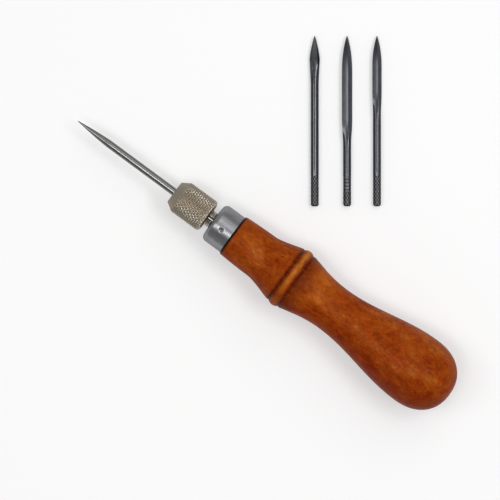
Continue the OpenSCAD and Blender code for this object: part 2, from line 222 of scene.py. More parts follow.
# Turned bands on the front of the long diamond's tail. The half width of their grooves is a share
# of their pitch, and their depths are shares of the knurl's
BAND_REACH = 6.2
BAND_PITCH = 1.4
BAND_HALF_SHARE = 0.25
BAND_LEAST = 0.2
BAND_GROOVE = 0.5
SPEAR = {
    "half_w": 2.05, "half_t": 0.9, "flat": 0.55, "nose": 9.7, "power": 1.5,
    "ground": 19.5, "runout": 9.8, "leave": 1.0, "join": 1.3,
}
DIAMOND = {"flat": 0.0, "runout": 12.5, "leave": 2.0, "join": 2.0}
LONG_DIAMOND = {
    **DIAMOND, "half_w": 2.3, "half_t": 1.6, "nose": 16.0, "power": 2.6, "ground": 45.8,
}
SHORT_DIAMOND = {
    **DIAMOND, "half_w": 2.08, "half_t": 1.45, "nose": 12.0, "power": 2.1, "ground": 34.5,
}
RIDGE_SOFTNESS = 0.12
GRIND_HOLLOW = 0.04

# Clearances
PRESS_GAP = 0.02
RUNNING_GAP = 0.05
END_GAP = 0.2
NOSE_GAP = 0.35

# Fineness of the meshes: segments around a piece, and steps along a stretch of it
EDGE_STEPS = 12
HANDLE_SEGMENTS = 200
BARREL_STEPS = 24
RISE_STEPS = 40
GROOVE_STEPS = 14
BEAD_STEPS = 24
WAIST_STEPS = 30
BULB_STEPS = 40
BUTT_STEPS = 48
FERRULE_SEGMENTS = 360
FERRULE_EDGE_STEPS = 16
FERRULE_STEPS = 60
BRAD_SEGMENTS = 32
BRAD_DOME_STEPS = 8
STEM_SEGMENTS = 96
THREAD_STEPS = 140
SLOT_STEPS = 16
NUT_SEGMENTS = 12 * NUT_KNURL_STARTS
NUT_EDGE_STEPS = 14
NUT_STEPS = 96
NOSE_STEPS = 24
ROUND_SEGMENTS = 96
ROUND_SHANK_STEPS = 20
ROUND_TAPER_STEPS = 40
QUARTER_STEPS = 28
TIP_STEPS = 50
BLADE_STEPS = 24
RUNOUT_STEPS = 30
SHANK_STEPS = 12
TAIL_STEPS = 110
FLOOR_SEGMENTS = 64

# Layout of the loose points on the bench
SPARE_PLACE = Vector((-19.8, -28.8))
SPARE_HEADING = math.radians(-53.6)
SPARE_GAPS = (0.0, 13.0, 25.0)
DIAMOND_ROLL = math.radians(25)

# The photo's frame: where the tip and the wood's shoulder lie in it, in pixels
PHOTO_SIZE = 500
PHOTO_TIP = Vector((77.8, 120.9))
PHOTO_SHOULDER = Vector((232.4, 234.8))
PIXEL = 0.4
CAMERA_DISTANCE = 3000.0
SENSOR_W = 36.0
FAR_CLIP = 100000.0

# Floor
FLOOR_R = 4000.0
FLOOR_GREY = 0.7
FLOOR_ROUGH = 0.9
FLOOR_LIGHT = 0.32

# Brightness of the world, by height from the horizon up and by side from -Y to +Y
WORLD_HEIGHTS = ((0.0, 0.46), (0.33, 0.46), (0.6, 0.34), (0.8, 0.28), (0.94, 0.4), (1.0, 0.55))
WORLD_SIDES = ((0.0, 1.05), (0.5, 1.0), (1.0, 0.85))

# Lamps: where they stand, and their leans from straight up
LAMP_DISTANCE = 900.0
FILL_TOWARDS = (0.0, -0.574, 0.819)
FRONT_LEAN = math.radians(12)
FRONT_ASIDE = 0.044
SIDE_LEAN = math.radians(28)

# Sizes worked out from those above. The haft's places run back from its shoulder
front_lip = BEAD_AT - BEAD_W / 2 - GROOVE_W
rear_lip = BEAD_AT + BEAD_W / 2 + GROOVE_W
bore_r = FERRULE_R - FERRULE_WALL
spigot_r = bore_r - PRESS_GAP
spigot_len = FERRULE_LEN - FERRULE_WALL
cup_round = FERRULE_ROUND - FERRULE_WALL
thread_from = FERRULE_LEN - THREAD_SINK
nut_rear = FERRULE_LEN + NECK_LEN
nut_front = nut_rear + NUT_LEN
knurl_from = nut_rear + NUT_ROUND
knurl_to = nut_rear + NUT_LEN - NUT_NOSE_LEN
stem_front = nut_front - NUT_LIP - COLLET_LEN - END_GAP
tail_at = FERRULE_LEN - TAIL_SINK
tail_from = POINT_LEN - TAIL_KNURL_LEN

# The tool's own frame has +Z along the tool, towards its point
tool_axis = Vector(frame["record"]["mounts"][0]["axis"])
lay_tool = Matrix.Rotation(math.pi / 2 + math.atan2(-tool_axis.z, tool_axis.x), 4, "Y")

# The tool lies along +X, so its direction in the photo also gives the photo's right on the bench
photo_right = (PHOTO_TIP - PHOTO_SHOULDER).normalized()


def lay_point(aside, roll):
    """Places a loose point's own frame, whose +Z runs from its tail to its tip, on the bench."""
    tail = Vector((SPARE_PLACE.x, SPARE_PLACE.y, cad_low.z / MM + SHANK_R)) * MM
    return (
        Matrix.Translation(tail)
        @ Matrix.Rotation(SPARE_HEADING, 4, "Z")
        @ Matrix.Translation((0, -aside * MM, 0))
        @ Matrix.Rotation(math.pi / 2, 4, "Y")
        @ Matrix.Rotation(roll, 4, "Z")
    )


# Shapes

def spread(start, end, steps):
    """Even values from start to end, both included."""
    return [start + (end - start) * i / steps for i in range(steps + 1)]


def smooth(low, high, value):
    """Runs from 0 at low to 1 at high without a corner."""
    t = min(1.0, max(0.0, (value - low) / (high - low)))
    return t * t * (3 - 2 * t)


def hump(value, middle, half_width):
    """Is 1 at the middle and fades to 0 at the half width."""
    return 1 - smooth(0, half_width, abs(value - middle))


def ease(t, leave, join):
    """Runs from 0 to 1, gently at its start and its end as the two powers say."""
    return 1 - (1 - t ** leave) ** join


def stretch(x0, r0, x1, r1, steps, curve):
    """Places from (x0, r0) to (x1, r1), after the first, with the radius following a curve."""
    return [
        (x0 + (x1 - x0) * t, r0 + (r1 - r0) * curve(t))
        for t in spread(0, 1, steps)[1:]
    ]


def round_edge(r, front, rounding, steps=EDGE_STEPS):
    """A quarter round from a front face to a side, as places of (z, r)."""
    return [
        (front - rounding * (1 - math.cos(a)), r - rounding * (1 - math.sin(a)))
        for a in spread(0, math.pi / 2, steps)
    ]


def spin(profile, segments, shape=None, loop=False):
    """Turns a profile of (z, r) about Z, with one point for a place on the axis.

    shape(angle, z, r) may cut the radius, and loop joins the last place to the first.
    """
    verts, faces, rings = [], [], []
    for z, r in profile:
        first = len(verts)
        count = segments if r > 0 else 1
        for i in range(count):
            a = TAU * i / segments
            reach = shape(a, z, r) if shape and r > 0 else r
            verts.append((reach * math.cos(a), reach * math.sin(a), z))
        rings.append(range(first, first + count))
    pairs = list(zip(rings, rings[1:]))
    if loop:
        pairs.append((rings[-1], rings[0]))
    for low, high in pairs:
        for i in range(segments):
            j = (i + 1) % segments
            quad = [
                low[i % len(low)], low[j % len(low)],
                high[j % len(high)], high[i % len(high)],
            ]
            face = list(dict.fromkeys(quad))
            if len(face) > 2:
                faces.append(face)
    return verts, faces


def loft(rings):
    """Joins closed rings of equal length, with a fan at each end."""
    count = len(rings[0])
    verts = [p for ring in rings for p in ring]
    faces = []
    for k in range(len(rings) - 1):
        here = k * count
        there = here + count
        for i in range(count):
            j = (i + 1) % count
            faces.append([here + i, here + j, there + j, there + i])
    for ring, first in ((rings[0], 0), (rings[-1], (len(rings) - 1) * count)):
        middle = len(verts)
        verts.append(tuple(sum(p[axis] for p in ring) / count for axis in range(3)))
        faces += [[first + i, first + (i + 1) % count, middle] for i in range(count)]
    return verts, faces


def knurl(angle, z, starts, pitch, land):
    """Depth of a diamond knurl: 0 on its lands, 1 at the bottom of its two sets of grooves."""
    turn = starts * angle / TAU
    along = z / pitch
    depths = [1 - abs(t - round(t)) * 2 / (1 - land) for t in (turn + along, turn - along)]
    return max(0.0, *depths)


def soften(mesh):
    """Shades a mesh smooth except at its real edges."""
    mesh.shade_smooth()
    mesh.set_sharp_from_angle(angle=SHARP_ANGLE)


def mesh_of(name, shape):
    """A closed mesh in metres from points in millimetres."""
    verts, faces = shape
    mesh = bpy.data.meshes.new(name)
    mesh.from_pydata([Vector(v) * MM for v in verts], [], faces)
    shell = bmesh.new()
    shell.from_mesh(mesh)
    bmesh.ops.recalc_face_normals(shell, faces=shell.faces)
    shell.to_mesh(mesh)
    shell.free()
    soften(mesh)
    return mesh


def mark(mesh, name, value_at):
    """Stores a number at every point, from its place in millimetres, for a material to read."""
    layer = mesh.attributes.new(name, "FLOAT", "POINT")
    for point, entry in zip(mesh.vertices, layer.data):
        entry.value = value_at(point.co / MM)


def add(name, data):
    """Puts new data into the scene as an object."""
    made = bpy.data.objects.new(name, data)
    bpy.context.scene.collection.objects.link(made)
    return made


def cut_away(name, mesh, cutter_mesh):
    """A new mesh: the first one with the second taken out of it."""
    body = add(mesh.name, mesh)
    cutter = add(cutter_mesh.name, cutter_mesh)
    cut = body.modifiers.new("cut", "BOOLEAN")
    cut.object = cutter
    cut.solver = "EXACT"
    evaluated = body.evaluated_get(bpy.context.evaluated_depsgraph_get())
    result = bpy.data.meshes.new_from_object(evaluated)
    for piece in (body, cutter):
        bpy.data.objects.remove(piece)
    result.name = name
    soften(result)
    return result


def dress(mesh, matrix, material, body, cad_node):
    """Puts a piece in place of a CAD node, on that node's body."""
    piece = add(mesh.name, mesh)
    piece.matrix_world = matrix
    mesh.materials.append(material)
    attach(piece, body)
    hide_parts(cad_node)


# Materials

def colour(red, green, blue):
    """A colour as the screen shows it, from 0 to 255, in the shader's linear values."""
    values = [c / 255 for c in (red, green, blue)]
    return (*[c / 12.92 if c <= 0.04045 else ((c + 0.055) / 1.055) ** 2.4 for c in values], 1.0)


def grey(value):
    """An even grey in linear values."""
    return (value, value, value, 1.0)


def new_material(name, **settings):
    """A Principled material with its even values set on the shader's own sockets."""
    material = bpy.data.materials.new(name)
    material.use_nodes = True
    shader = material.node_tree.nodes["Principled BSDF"]
    for socket, value in settings.items():
        shader.inputs[socket.replace("_", " ")].default_value = value
    return material, material.node_tree, shader


def node(tree, kind, inputs=(), **settings):
    """Adds a node. inputs pairs a socket's name or number with a value or a feeding socket."""
    made = tree.nodes.new(kind)
    for key, value in settings.items():
        setattr(made, key, value)
    for key, value in dict(inputs).items():
        if isinstance(value, bpy.types.NodeSocket):
            tree.links.new(value, made.inputs[key])
        else:
            made.inputs[key].default_value = value
    return made


def maths(tree, operation, *values):
    """Works on numbers, each given as a value or as a feeding socket."""
    return node(tree, "ShaderNodeMath", dict(enumerate(values)), operation=operation).outputs[0]


def features(tree, size):
    """The piece's own coordinates, in features of this size in millimetres along X, Y and Z."""
    place = node(tree, "ShaderNodeTexCoord").outputs["Object"]
    rate = [1 / (s * MM) for s in size]
    return node(tree, "ShaderNodeVectorMath", {0: place, 1: rate}, operation="MULTIPLY").outputs[0]


def noise(tree, size, detail=2.0, rough=0.5):
    """Cloudy values with features of this size in millimetres."""
    inputs = {"Vector": features(tree, size), "Scale": 1.0, "Detail": detail, "Roughness": rough}
    return node(tree, "ShaderNodeTexNoise", inputs).outputs["Fac"]


def ramp(tree, factor, stops):
    """Colours along a factor, from pairs of place and colour."""
    made = node(tree, "ShaderNodeValToRGB", {"Fac": factor})
    bands = made.color_ramp.elements
    while len(bands) < len(stops):
        bands.new(1.0)
    for band, (place, shade) in zip(bands, stops):
        band.position = place
        band.color = shade
    return made.outputs["Color"]


def levels(tree, factor, stops):
    """Greys along a factor, from pairs of place and brightness."""
    return ramp(tree, factor, [(place, grey(value)) for place, value in stops])


def mix(tree, factor, first, second, mode="MIX"):
    """Mixes two colours, which the Mix node takes in its sockets 6 and 7 and gives in its third."""
    inputs = {0: factor, 6: first, 7: second}
    return node(tree, "ShaderNodeMix", inputs, data_type="RGBA", blend_type=mode).outputs[2]


def multiply(tree, first, second):
    """Multiplies two colours."""
    return mix(tree, 1.0, first, second, "MULTIPLY")


def marked(tree, name):
    """A number that mark() stored on the mesh."""
    return node(tree, "ShaderNodeAttribute", attribute_name=name).outputs["Fac"]


def bump(tree, shader, height, depth):
    """Raises the surface by a height pattern, by this depth in millimetres."""
    inputs = {"Height": height, "Distance": depth * MM, "Strength": 1.0}
    normal = node(tree, "ShaderNodeBump", inputs).outputs["Normal"]
    tree.links.new(normal, shader.inputs["Normal"])


def wood_tones(tree, mottle):
    """Blotches with redder patches, mottling, fine grain, short flecks and a few pores."""
    shade = ramp(tree, noise(tree, BLOTCHES, detail=3, rough=0.6), (
        (0.30, colour(122, 40, 0)),
        (0.44, colour(146, 60, 6)),
        (0.56, colour(155, 71, 14)),
        (0.70, colour(172, 90, 30)),
    ))
    red = levels(tree, noise(tree, RED_PATCHES), ((0.54, 0.0), (0.70, 0.5)))
    shade = mix(tree, red, shade, colour(154, 52, 8))
    shade = multiply(tree, shade, levels(tree, mottle, ((0.3, 0.75), (0.5, 1.0), (0.7, 1.3))))
    grain = levels(tree, noise(tree, GRAIN), ((0.3, 0.9), (0.7, 1.08)))
    shade = multiply(tree, shade, grain)
    flecks = levels(tree, noise(tree, FLECKS, detail=1), ((0.62, 0.0), (0.7, 0.5)))
    shade = mix(tree, flecks, shade, colour(110, 34, 0))
    cells = node(tree, "ShaderNodeTexVoronoi", {"Vector": features(tree, PORES), "Scale": 1.0})
    pores = levels(tree, cells.outputs["Distance"], ((0.05, 0.7), (0.09, 0.0)))
    return mix(tree, pores, shade, colour(70, 16, 0))


def wood_marks(tree, shade):
    """Painted shade on the +Y side, the worn bead with painted light, painted light on pale
    stretches, the stained grooves with painted shade and painted shadow in the seam.
    """
    # Painted shade: a darker, redder copy of the wood, mixed in on the haft's +Y side
    dark = multiply(tree, mix(tree, PAINTED_SHADE_MIX, shade, colour(92, 26, 0)), PAINTED_SHADE_TINT)
    shade = mix(tree, marked(tree, "painted_side_shade"), shade, dark)
    patches = levels(tree, noise(tree, STAIN_PATCHES), ((0.35, 0.65), (0.6, 1.0)))
    rubbed = levels(tree, noise(tree, RUBBED_PATCHES), ((0.36, 0.45), (0.6, 1.0)))
    for name, broken_by, tone in (
        # Wear and painted light on the bead
        ("worn", rubbed, colour(196, 126, 46)),
        # Painted light on stretches of the wood
        ("pale", rubbed, colour(202, 108, 32)),
        # Stain and painted shade in the grooves
        ("stain", patches, colour(66, 14, 2)),
    ):
        share = maths(tree, "MULTIPLY", marked(tree, name), broken_by)
        shade = mix(tree, share, shade, tone)
    # Painted shadow in the seam behind the ferrule
    return mix(tree, marked(tree, "seam"), shade, colour(30, 12, 8))


def stained_wood():
    """Beech under a red-brown stain."""
    material, tree, shader = new_material("stained_wood", Roughness=0.42, Specular_IOR_Level=0.04)
    mottle = noise(tree, MOTTLE, detail=3, rough=0.65)
    shade = wood_marks(tree, wood_tones(tree, mottle))
    tree.links.new(shade, shader.inputs["Base Color"])
    bump(tree, shader, mottle, MOTTLE_DEPTH)
    return material


def turned_metal(
    name, shade, dark, rough, marks=TURNED_MARKS, depth=MARK_DEPTH,
    edge=1.0, drawn=0.0, bare=None, matt=None,
):
    """Metal with fine marks, a slight patina, and a darker tone where the mesh marks a hollow.

    edge is its tint at glancing angles and drawn stretches its gloss. bare is its tone where the
    mesh marks it as rubbed, and matt its roughness where the mesh marks it as matt.
    """
    material, tree, shader = new_material(
        name, Metallic=1.0, Specular_Tint=grey(edge), Anisotropic=drawn
    )
    if drawn:
        shader.inputs["Anisotropic Rotation"].default_value = DRAWN_TURN
        around = node(tree, "ShaderNodeTangent", direction_type="RADIAL", axis="Z")
        tree.links.new(around.outputs["Tangent"], shader.inputs["Tangent"])
    pattern = noise(tree, marks)
    patina = levels(tree, noise(tree, PATINA, detail=3), ((0.45, 0.0), (0.75, 0.2)))
    tint = mix(tree, patina, shade, dark)
    tint = mix(tree, marked(tree, "hollow"), tint, dark)
    if bare:
        tint = mix(tree, marked(tree, "rubbed"), tint, bare)
    tree.links.new(tint, shader.inputs["Base Color"])
    ends = ((0.3, rough * (1 - GLOSS_SPREAD)), (0.7, rough * (1 + GLOSS_SPREAD)))
    gloss = levels(tree, pattern, ends)
    if matt:
        gloss = mix(tree, marked(tree, "matt"), gloss, grey(matt))
    tree.links.new(gloss, shader.inputs["Roughness"])
    bump(tree, shader, pattern, depth)
    return material


# Handle

def bore():
    """The stem's blind bore from its bottom to the front, and the spigot under the ferrule."""
    places = [
        (-TANG_DEPTH, 0),
        (-TANG_DEPTH, TANG_R + PRESS_GAP),
        (-COLLAR_DEPTH, TANG_R + PRESS_GAP),
        (-COLLAR_DEPTH, STEM_R + PRESS_GAP),
        (spigot_len, STEM_R + PRESS_GAP),
    ]
    return places + round_edge(spigot_r, spigot_len, cup_round) + [(0, spigot_r)]


def barrel():
    """The rounded shoulder, the barrel and the rise to the bead's front groove."""
    places = [(-z, r) for z, r in round_edge(SHOULDER_R, 0, SHOULDER_ROUND)]
    places += stretch(
        SHOULDER_ROUND, SHOULDER_R, BARREL_LEN, BARREL_R, BARREL_STEPS,
        lambda t: ease(t, BARREL_LEAVE, BARREL_JOIN),
    )
    places += stretch(
        BARREL_LEN, BARREL_R, front_lip, LIP_R, RISE_STEPS,
        lambda t: ease(t, RISE_LEAVE, RISE_JOIN),
    )
    return places


def groove(x0):
    """A turned groove with softened lips, after its first place."""
    return [
        (x0 + GROOVE_W * t, LIP_R - GROOVE_DEPTH * (1 - math.cos(TAU * t)) / 2)
        for t in spread(0, 1, GROOVE_STEPS)[1:]
    ]


def bead():
    """The bead's arc between its two grooves."""
    rise = BEAD_R - LIP_R
    arc_r = ((BEAD_W / 2) ** 2 + rise ** 2) / (2 * rise)
    half_angle = math.asin(BEAD_W / 2 / arc_r)
    arc = [
        (BEAD_AT + arc_r * math.sin(a), BEAD_R - arc_r + arc_r * math.cos(a))
        for a in spread(-half_angle, half_angle, BEAD_STEPS)[1:]
    ]
    return groove(front_lip) + arc + groove(BEAD_AT + BEAD_W / 2)


def waist():
    """A straight fall from the rear lip into the waist's hollow arc, and the curve to the bulb."""
    centre_r = WAIST_R + WAIST_HOLLOW_R
    along = WAIST_AT - rear_lip
    lip_angle = math.atan2(along, centre_r - LIP_R)
    start = lip_angle - math.acos(WAIST_HOLLOW_R / math.hypot(along, centre_r - LIP_R))
    hollow = [
        (WAIST_AT - WAIST_HOLLOW_R * math.sin(a), centre_r - WAIST_HOLLOW_R * math.cos(a))
        for a in spread(start, 0, WAIST_STEPS)
    ]
    return hollow + stretch(
        WAIST_AT, WAIST_R, BULB_AT, BULB_R, BULB_STEPS,
        lambda t: (1 - math.cos(math.pi * t)) / 2,
    )


def butt():
    """The rounded end behind the bulb, to the axis."""
    butt_len = HANDLE_LEN - BULB_AT
    power = 2 / BUTT_POWER
    curve = [
        (BULB_AT + butt_len * math.sin(a) ** power, BULB_R * math.cos(a) ** power)
        for a in spread(0, math.pi / 2, BUTT_STEPS)[1:-1]
    ]
    return curve + [(HANDLE_LEN, 0)]


def handle_profile():
    """The wood's outline with the stem's blind bore, from the bore's bottom to the butt."""
    outline = barrel() + bead() + waist() + butt()
    return bore() + [(-x, r) for x, r in outline]


def side_of(p):
    """Which side of the haft a point is on, from -1 at -Y to 1 at +Y."""
    return p.y / max(LEAST_R, math.hypot(p.x, p.y))


def groove_stain_and_shade(p):
    """How much stain and painted shade darken the two grooves beside the bead and their edges."""
    from_bead = abs(-p.z - BEAD_AT)
    return GROOVE_STAIN_AND_SHADE * hump(from_bead, (BEAD_W + GROOVE_W) / 2, GROOVE_STAIN_AND_SHADE_REACH)


def painted_side_shade(p):
    """How much painted shade darkens the haft's +Y side, deeper towards the butt."""
    deeper = (share * smooth(start, end, -p.z) for start, end, share in PAINTED_SHADE_STRETCHES)
    return smooth(0.0, PAINTED_SHADE_FULL_SIDE, side_of(p)) * sum(deeper, PAINTED_SHADE_LEAST)


def bead_wear_and_light(p):
    """How light the bead is from wear and painted light, less so on its +Y side as painted shade.
    """
    kept = 1 - BEAD_LIGHT_LOSS * smooth(*BEAD_LIGHT_SIDES, side_of(p))
    return BEAD_WEAR * hump(-p.z, BEAD_AT, BEAD_WEAR_REACH) * kept


def painted_light_share(p):
    """How much painted light makes the wood paler on its barrel and behind its bead, away from its
    +Y side.
    """
    shares = [share * hump(-p.z, at, half_w) for at, half_w, share in PAINTED_LIGHT_PLACES]
    return max(shares) * (1 - smooth(0.0, PAINTED_LIGHT_END_SIDE, side_of(p)))


def seam(p):
    """Painted shadow in the seam where the wood meets the ferrule."""
    return 1 - smooth(SEAM_SHADOW_FROM, SEAM_SHADOW_TO, -p.z)


def handle():
    """The turned haft, with marks for the tones of its stain and for painted light and shade."""
    mesh = mesh_of("haft_wood", spin(handle_profile(), HANDLE_SEGMENTS))
    mark(mesh, "stain", groove_stain_and_shade)
    mark(mesh, "painted_side_shade", painted_side_shade)
    mark(mesh, "worn", bead_wear_and_light)
    mark(mesh, "pale", painted_light_share)
    mark(mesh, "seam", seam)
    dress(mesh, lay_tool, stained_wood(), "haft", "handle")


# Ferrule

def ferrule_profile():
    """The cup's section: its front hole, its outside and then its inside."""
    hole_r = STEM_R + PRESS_GAP
    places = [(spigot_len, hole_r), (FERRULE_LEN, hole_r)]
    places += round_edge(FERRULE_R, FERRULE_LEN, FERRULE_ROUND, FERRULE_EDGE_STEPS)
    side = spread(FERRULE_LEN - FERRULE_ROUND, 0, FERRULE_STEPS)[1:]
    places += [(z, FERRULE_R) for z in side]
    places.append((0, bore_r))
    return places + round_edge(bore_r, spigot_len, cup_round)[::-1]


def dished(angle, z, r):
    """Sinks the ferrule's outside in the dish around its brad."""
    if r < FERRULE_R:
        return r
    off = (angle + BRAD_TURN) % TAU - math.pi
    away = math.hypot(FERRULE_R * off, z - BRAD_AT) / DISH_R
    return r - DISH_DEPTH * max(0.0, 1 - away * away) ** DISH_POWER


def dish_painted_shade(p):
    """How much painted shade darkens a point of the ferrule, most so at the middle of its dish."""
    turn = math.pi - BRAD_TURN
    centre = Vector((FERRULE_R * math.cos(turn), FERRULE_R * math.sin(turn), BRAD_AT))
    return DISH_SHADE * (1 - smooth(DISH_FLOOR_R, DISH_R, (p - centre).length))


def ferrule():
    """The drawn cup, with painted shade in its dish."""
    mesh = mesh_of("ferrule_cup", spin(ferrule_profile(), FERRULE_SEGMENTS, dished, loop=True))
    mark(mesh, "hollow", dish_painted_shade)
    material = turned_metal(
        "ferrule_steel", colour(144, 144, 147), colour(70, 70, 72), rough=0.36,
        edge=0.6, drawn=0.6,
    )
    dress(mesh, lay_tool, material, "haft", "ferrule")


def brad_profile():
    """The brad from its blunt tip to its domed head, by distance from the tool's axis."""
    top = FERRULE_R - DISH_DEPTH
    tip = top - BRAD_LEN
    dome = top - BRAD_DOME_SINK
    places = [
        (tip, 0),
        (tip, BRAD_R * BRAD_TIP_SHARE),
        (tip + BRAD_TIP_LEN, BRAD_R),
        (dome, BRAD_R),
    ]
    places += [
        (dome + BRAD_DOME_HEIGHT * math.sin(a), BRAD_R * math.cos(a))
        for a in spread(0, math.pi / 2, BRAD_DOME_STEPS)[1:-1]
    ]
    return places + [(dome + BRAD_DOME_HEIGHT, 0)]


def ferrule_brad():
    """The brad at the bottom of the dish, darker towards its rim."""
    mesh = mesh_of("ferrule_brad", spin(brad_profile(), BRAD_SEGMENTS))
    place = (
        lay_tool
        @ Matrix.Translation((0, 0, BRAD_AT * MM))
        @ Matrix.Rotation(-BRAD_TURN, 4, "Z")
        @ Matrix.Rotation(-math.pi / 2, 4, "Y")
    )
    mark(mesh, "hollow", lambda p: smooth(0, BRAD_R, math.hypot(p.x, p.y)))
    material = turned_metal(
        "brad_steel", colour(104, 104, 106), colour(56, 56, 58), rough=0.4, marks=BRAD_MARKS
    )
    dress(mesh, place, material, "haft", "ferrule_pin")


# Chuck

def stem_profile():
    """The tang, the collar in the wood, the threaded stretch and the point's blind bore."""
    point_bore_r = SHANK_R + RUNNING_GAP
    bore_end = tail_at - END_GAP
    chamfer = STEM_R - COLLET_R
    places = [
        (-TANG_DEPTH, 0),
        (-TANG_DEPTH, TANG_R / 2),
        (-TANG_DEPTH + TANG_R / 2, TANG_R),
        (-COLLAR_DEPTH, TANG_R),
        (-COLLAR_DEPTH, STEM_R),
    ]
    places += [(z, STEM_R) for z in spread(thread_from, stem_front - chamfer, THREAD_STEPS)]
    return places + [
        (stem_front, STEM_R - chamfer),
        (stem_front, point_bore_r),
        (bore_end, point_bore_r),
        (bore_end, 0),
    ]


def thread(angle, z, r):
    """Cuts the thread into the stem's outside."""
    if r < STEM_R:
        return r
    turn = z / THREAD_PITCH - angle / TAU
    valley = 1 - 2 * abs(turn - round(turn))
    return r - THREAD_DEPTH * valley * smooth(thread_from, thread_from + THREAD_FADE, z)


def slot_cutter():
    """A bar across the stem, as wide as its slot and round at the slot's bottom."""
    half = SLOT_W / 2
    centre = FERRULE_LEN - SLOT_SINK + half
    front = stem_front + CUT_OVER
    reach = STEM_R + CUT_OVER
    outline = [(half, front), (-half, front)]
    outline += [
        (-half * math.cos(a), centre - half * math.sin(a))
        for a in spread(0, math.pi, SLOT_STEPS)
    ]
    count = len(outline)
    verts = [(x, y, z) for x in (-reach, reach) for y, z in outline]
    faces = [list(range(count)), list(range(2 * count - 1, count - 1, -1))]
    faces += [[i, (i + 1) % count, count + (i + 1) % count, count + i] for i in range(count)]
    return mesh_of("slot_cutter", (verts, faces))


def thread_hollow(p):
    """How deep a point of the stem lies in its thread. What lies further in is deep too."""
    return THREAD_DARK * (1 - smooth(STEM_R - THREAD_DEPTH, STEM_R, math.hypot(p.x, p.y)))


def chuck_stem():
    """The threaded stem with its slot."""
    whole = mesh_of("threaded_stem", spin(stem_profile(), STEM_SEGMENTS, thread))
    mesh = cut_away("slotted_stem", whole, slot_cutter())
    mark(mesh, "hollow", thread_hollow)
    material = turned_metal(
        "stem_steel", colour(182, 178, 168), colour(136, 132, 122), rough=0.3, marks=STEM_MARKS
    )
    dress(mesh, lay_tool, material, "haft", "chuck_stem")


def collet():
    """The collet stays as the CAD made it, hidden in the nut, with a finish of its own."""
    material = turned_metal(
        "collet_steel", colour(185, 185, 182), colour(96, 94, 90), rough=0.3, marks=STEM_MARKS
    )
    slots = frame["nodes"]["collet"].data.materials
    slots.clear()
    slots.append(material)


def nut_profile():
    """The nut's section: its rounded rear, its body and its nose, and then its coned inside."""
    hole_r = SHANK_R + NOSE_GAP
    thread_r = STEM_R + RUNNING_GAP
    seat_gap = RUNNING_GAP * math.hypot(1, COLLET_SLOPE)
    cone_lead = (thread_r - COLLET_R - seat_gap) / COLLET_SLOPE
    cone_from = nut_front - NUT_LIP - COLLET_CONE_LEN - cone_lead
    cone_to = cone_from + (thread_r - hole_r) / COLLET_SLOPE
    rear = round_edge(NUT_R, nut_rear, NUT_ROUND, NUT_EDGE_STEPS)
    places = [(2 * nut_rear - z, r) for z, r in rear]
    places += [(z, NUT_R) for z in spread(knurl_from, knurl_to, NUT_STEPS)[1:]]
    places += stretch(knurl_to, NUT_R, nut_front, NUT_NOSE_R, NOSE_STEPS, lambda t: t)
    return places + [
        (nut_front, hole_r),
        (cone_to, hole_r),
        (cone_from, thread_r),
        (nut_rear, thread_r),
    ]


def rolled(angle, z, r):
    """Presses the diamond knurl into the nut, except where it is narrower already."""
    depth = knurl(angle, z, NUT_KNURL_STARTS, NUT_KNURL_PITCH, NUT_KNURL_LAND)
    return min(r, NUT_R - NUT_KNURL_DEPTH * depth)


def nut_hollow(p):
    """How dark a point of the nut is: its inside, its nose and the grooves of its knurl."""
    r = math.hypot(p.x, p.y)
    if r < NUT_NOSE_R - NUT_INSIDE_MARGIN:
        return NUT_INSIDE_DARK
    if p.z > knurl_to:
        return 1.0
    if p.z <= knurl_from:
        return 0.0
    return smooth(KNURL_CREST, 1.0, (NUT_R - r) / NUT_KNURL_DEPTH)


def chuck_nut():
    """The knurled nut, with a dull nose."""
    mesh = mesh_of("knurled_nut", spin(nut_profile(), NUT_SEGMENTS, rolled, loop=True))
    mark(mesh, "hollow", nut_hollow)
    mark(mesh, "matt", lambda p: 1.0 if p.z > knurl_to else 0.0)
    material = turned_metal(
        "nut_nickel", colour(184, 174, 158), colour(160, 150, 134), rough=0.32,
        marks=NUT_MARKS, edge=0.7, matt=0.6,
    )
    dress(mesh, lay_tool, material, "nut", "chuck_nut")


# Points

def round_point():
    """The bright round point in the chuck."""
    taper_from = POINT_LEN - ROUND_TAPER_LEN
    profile = [(0, 0), (0, SHANK_R - TAIL_CHAMFER), (TAIL_CHAMFER, SHANK_R)]
    profile += [(z, SHANK_R) for z in spread(TAIL_CHAMFER, taper_from, ROUND_SHANK_STEPS)[1:]]
    profile += stretch(
        taper_from, SHANK_R, POINT_LEN, TIP_R, ROUND_TAPER_STEPS,
        lambda t: t ** ROUND_TAPER_POWER,
    )
    profile.append((POINT_LEN, 0))
    mesh = mesh_of("round_awl_point", spin(profile, ROUND_SEGMENTS))
    mark(mesh, "hollow", lambda p: 0.0)
    material = turned_metal(
        "bright_steel", colour(122, 122, 120), colour(104, 104, 103), rough=0.16,
        marks=BRIGHT_MARKS, depth=BRIGHT_MARK_DEPTH,
    )
    place = lay_tool @ Matrix.Translation((0, 0, tail_at * MM))
    dress(mesh, place, material, "mounted_point", "round_point")


def quarter(half_w, half_t, flat, steps):
    """A quarter of a ground section: a bevel to a flat, or a hollow bevel to a softened ridge."""
    places = []
    edge = half_w - flat
    soft = 0 if flat else RIDGE_SOFTNESS
    bevel_steps = steps // 2 if flat else steps
    for i in range(steps + 1):
        if i > bevel_steps:
            places.append((flat * (steps - i) / (steps - bevel_steps), half_t))
            continue
        share = 1 - i / bevel_steps
        x = edge * share
        hollow = 0 if flat else 4 * GRIND_HOLLOW * edge * share * (1 - share)
        fall = math.hypot(x, soft) / math.hypot(edge, soft)
        places.append((flat + x, half_t * (1 - fall) - hollow))
    return places


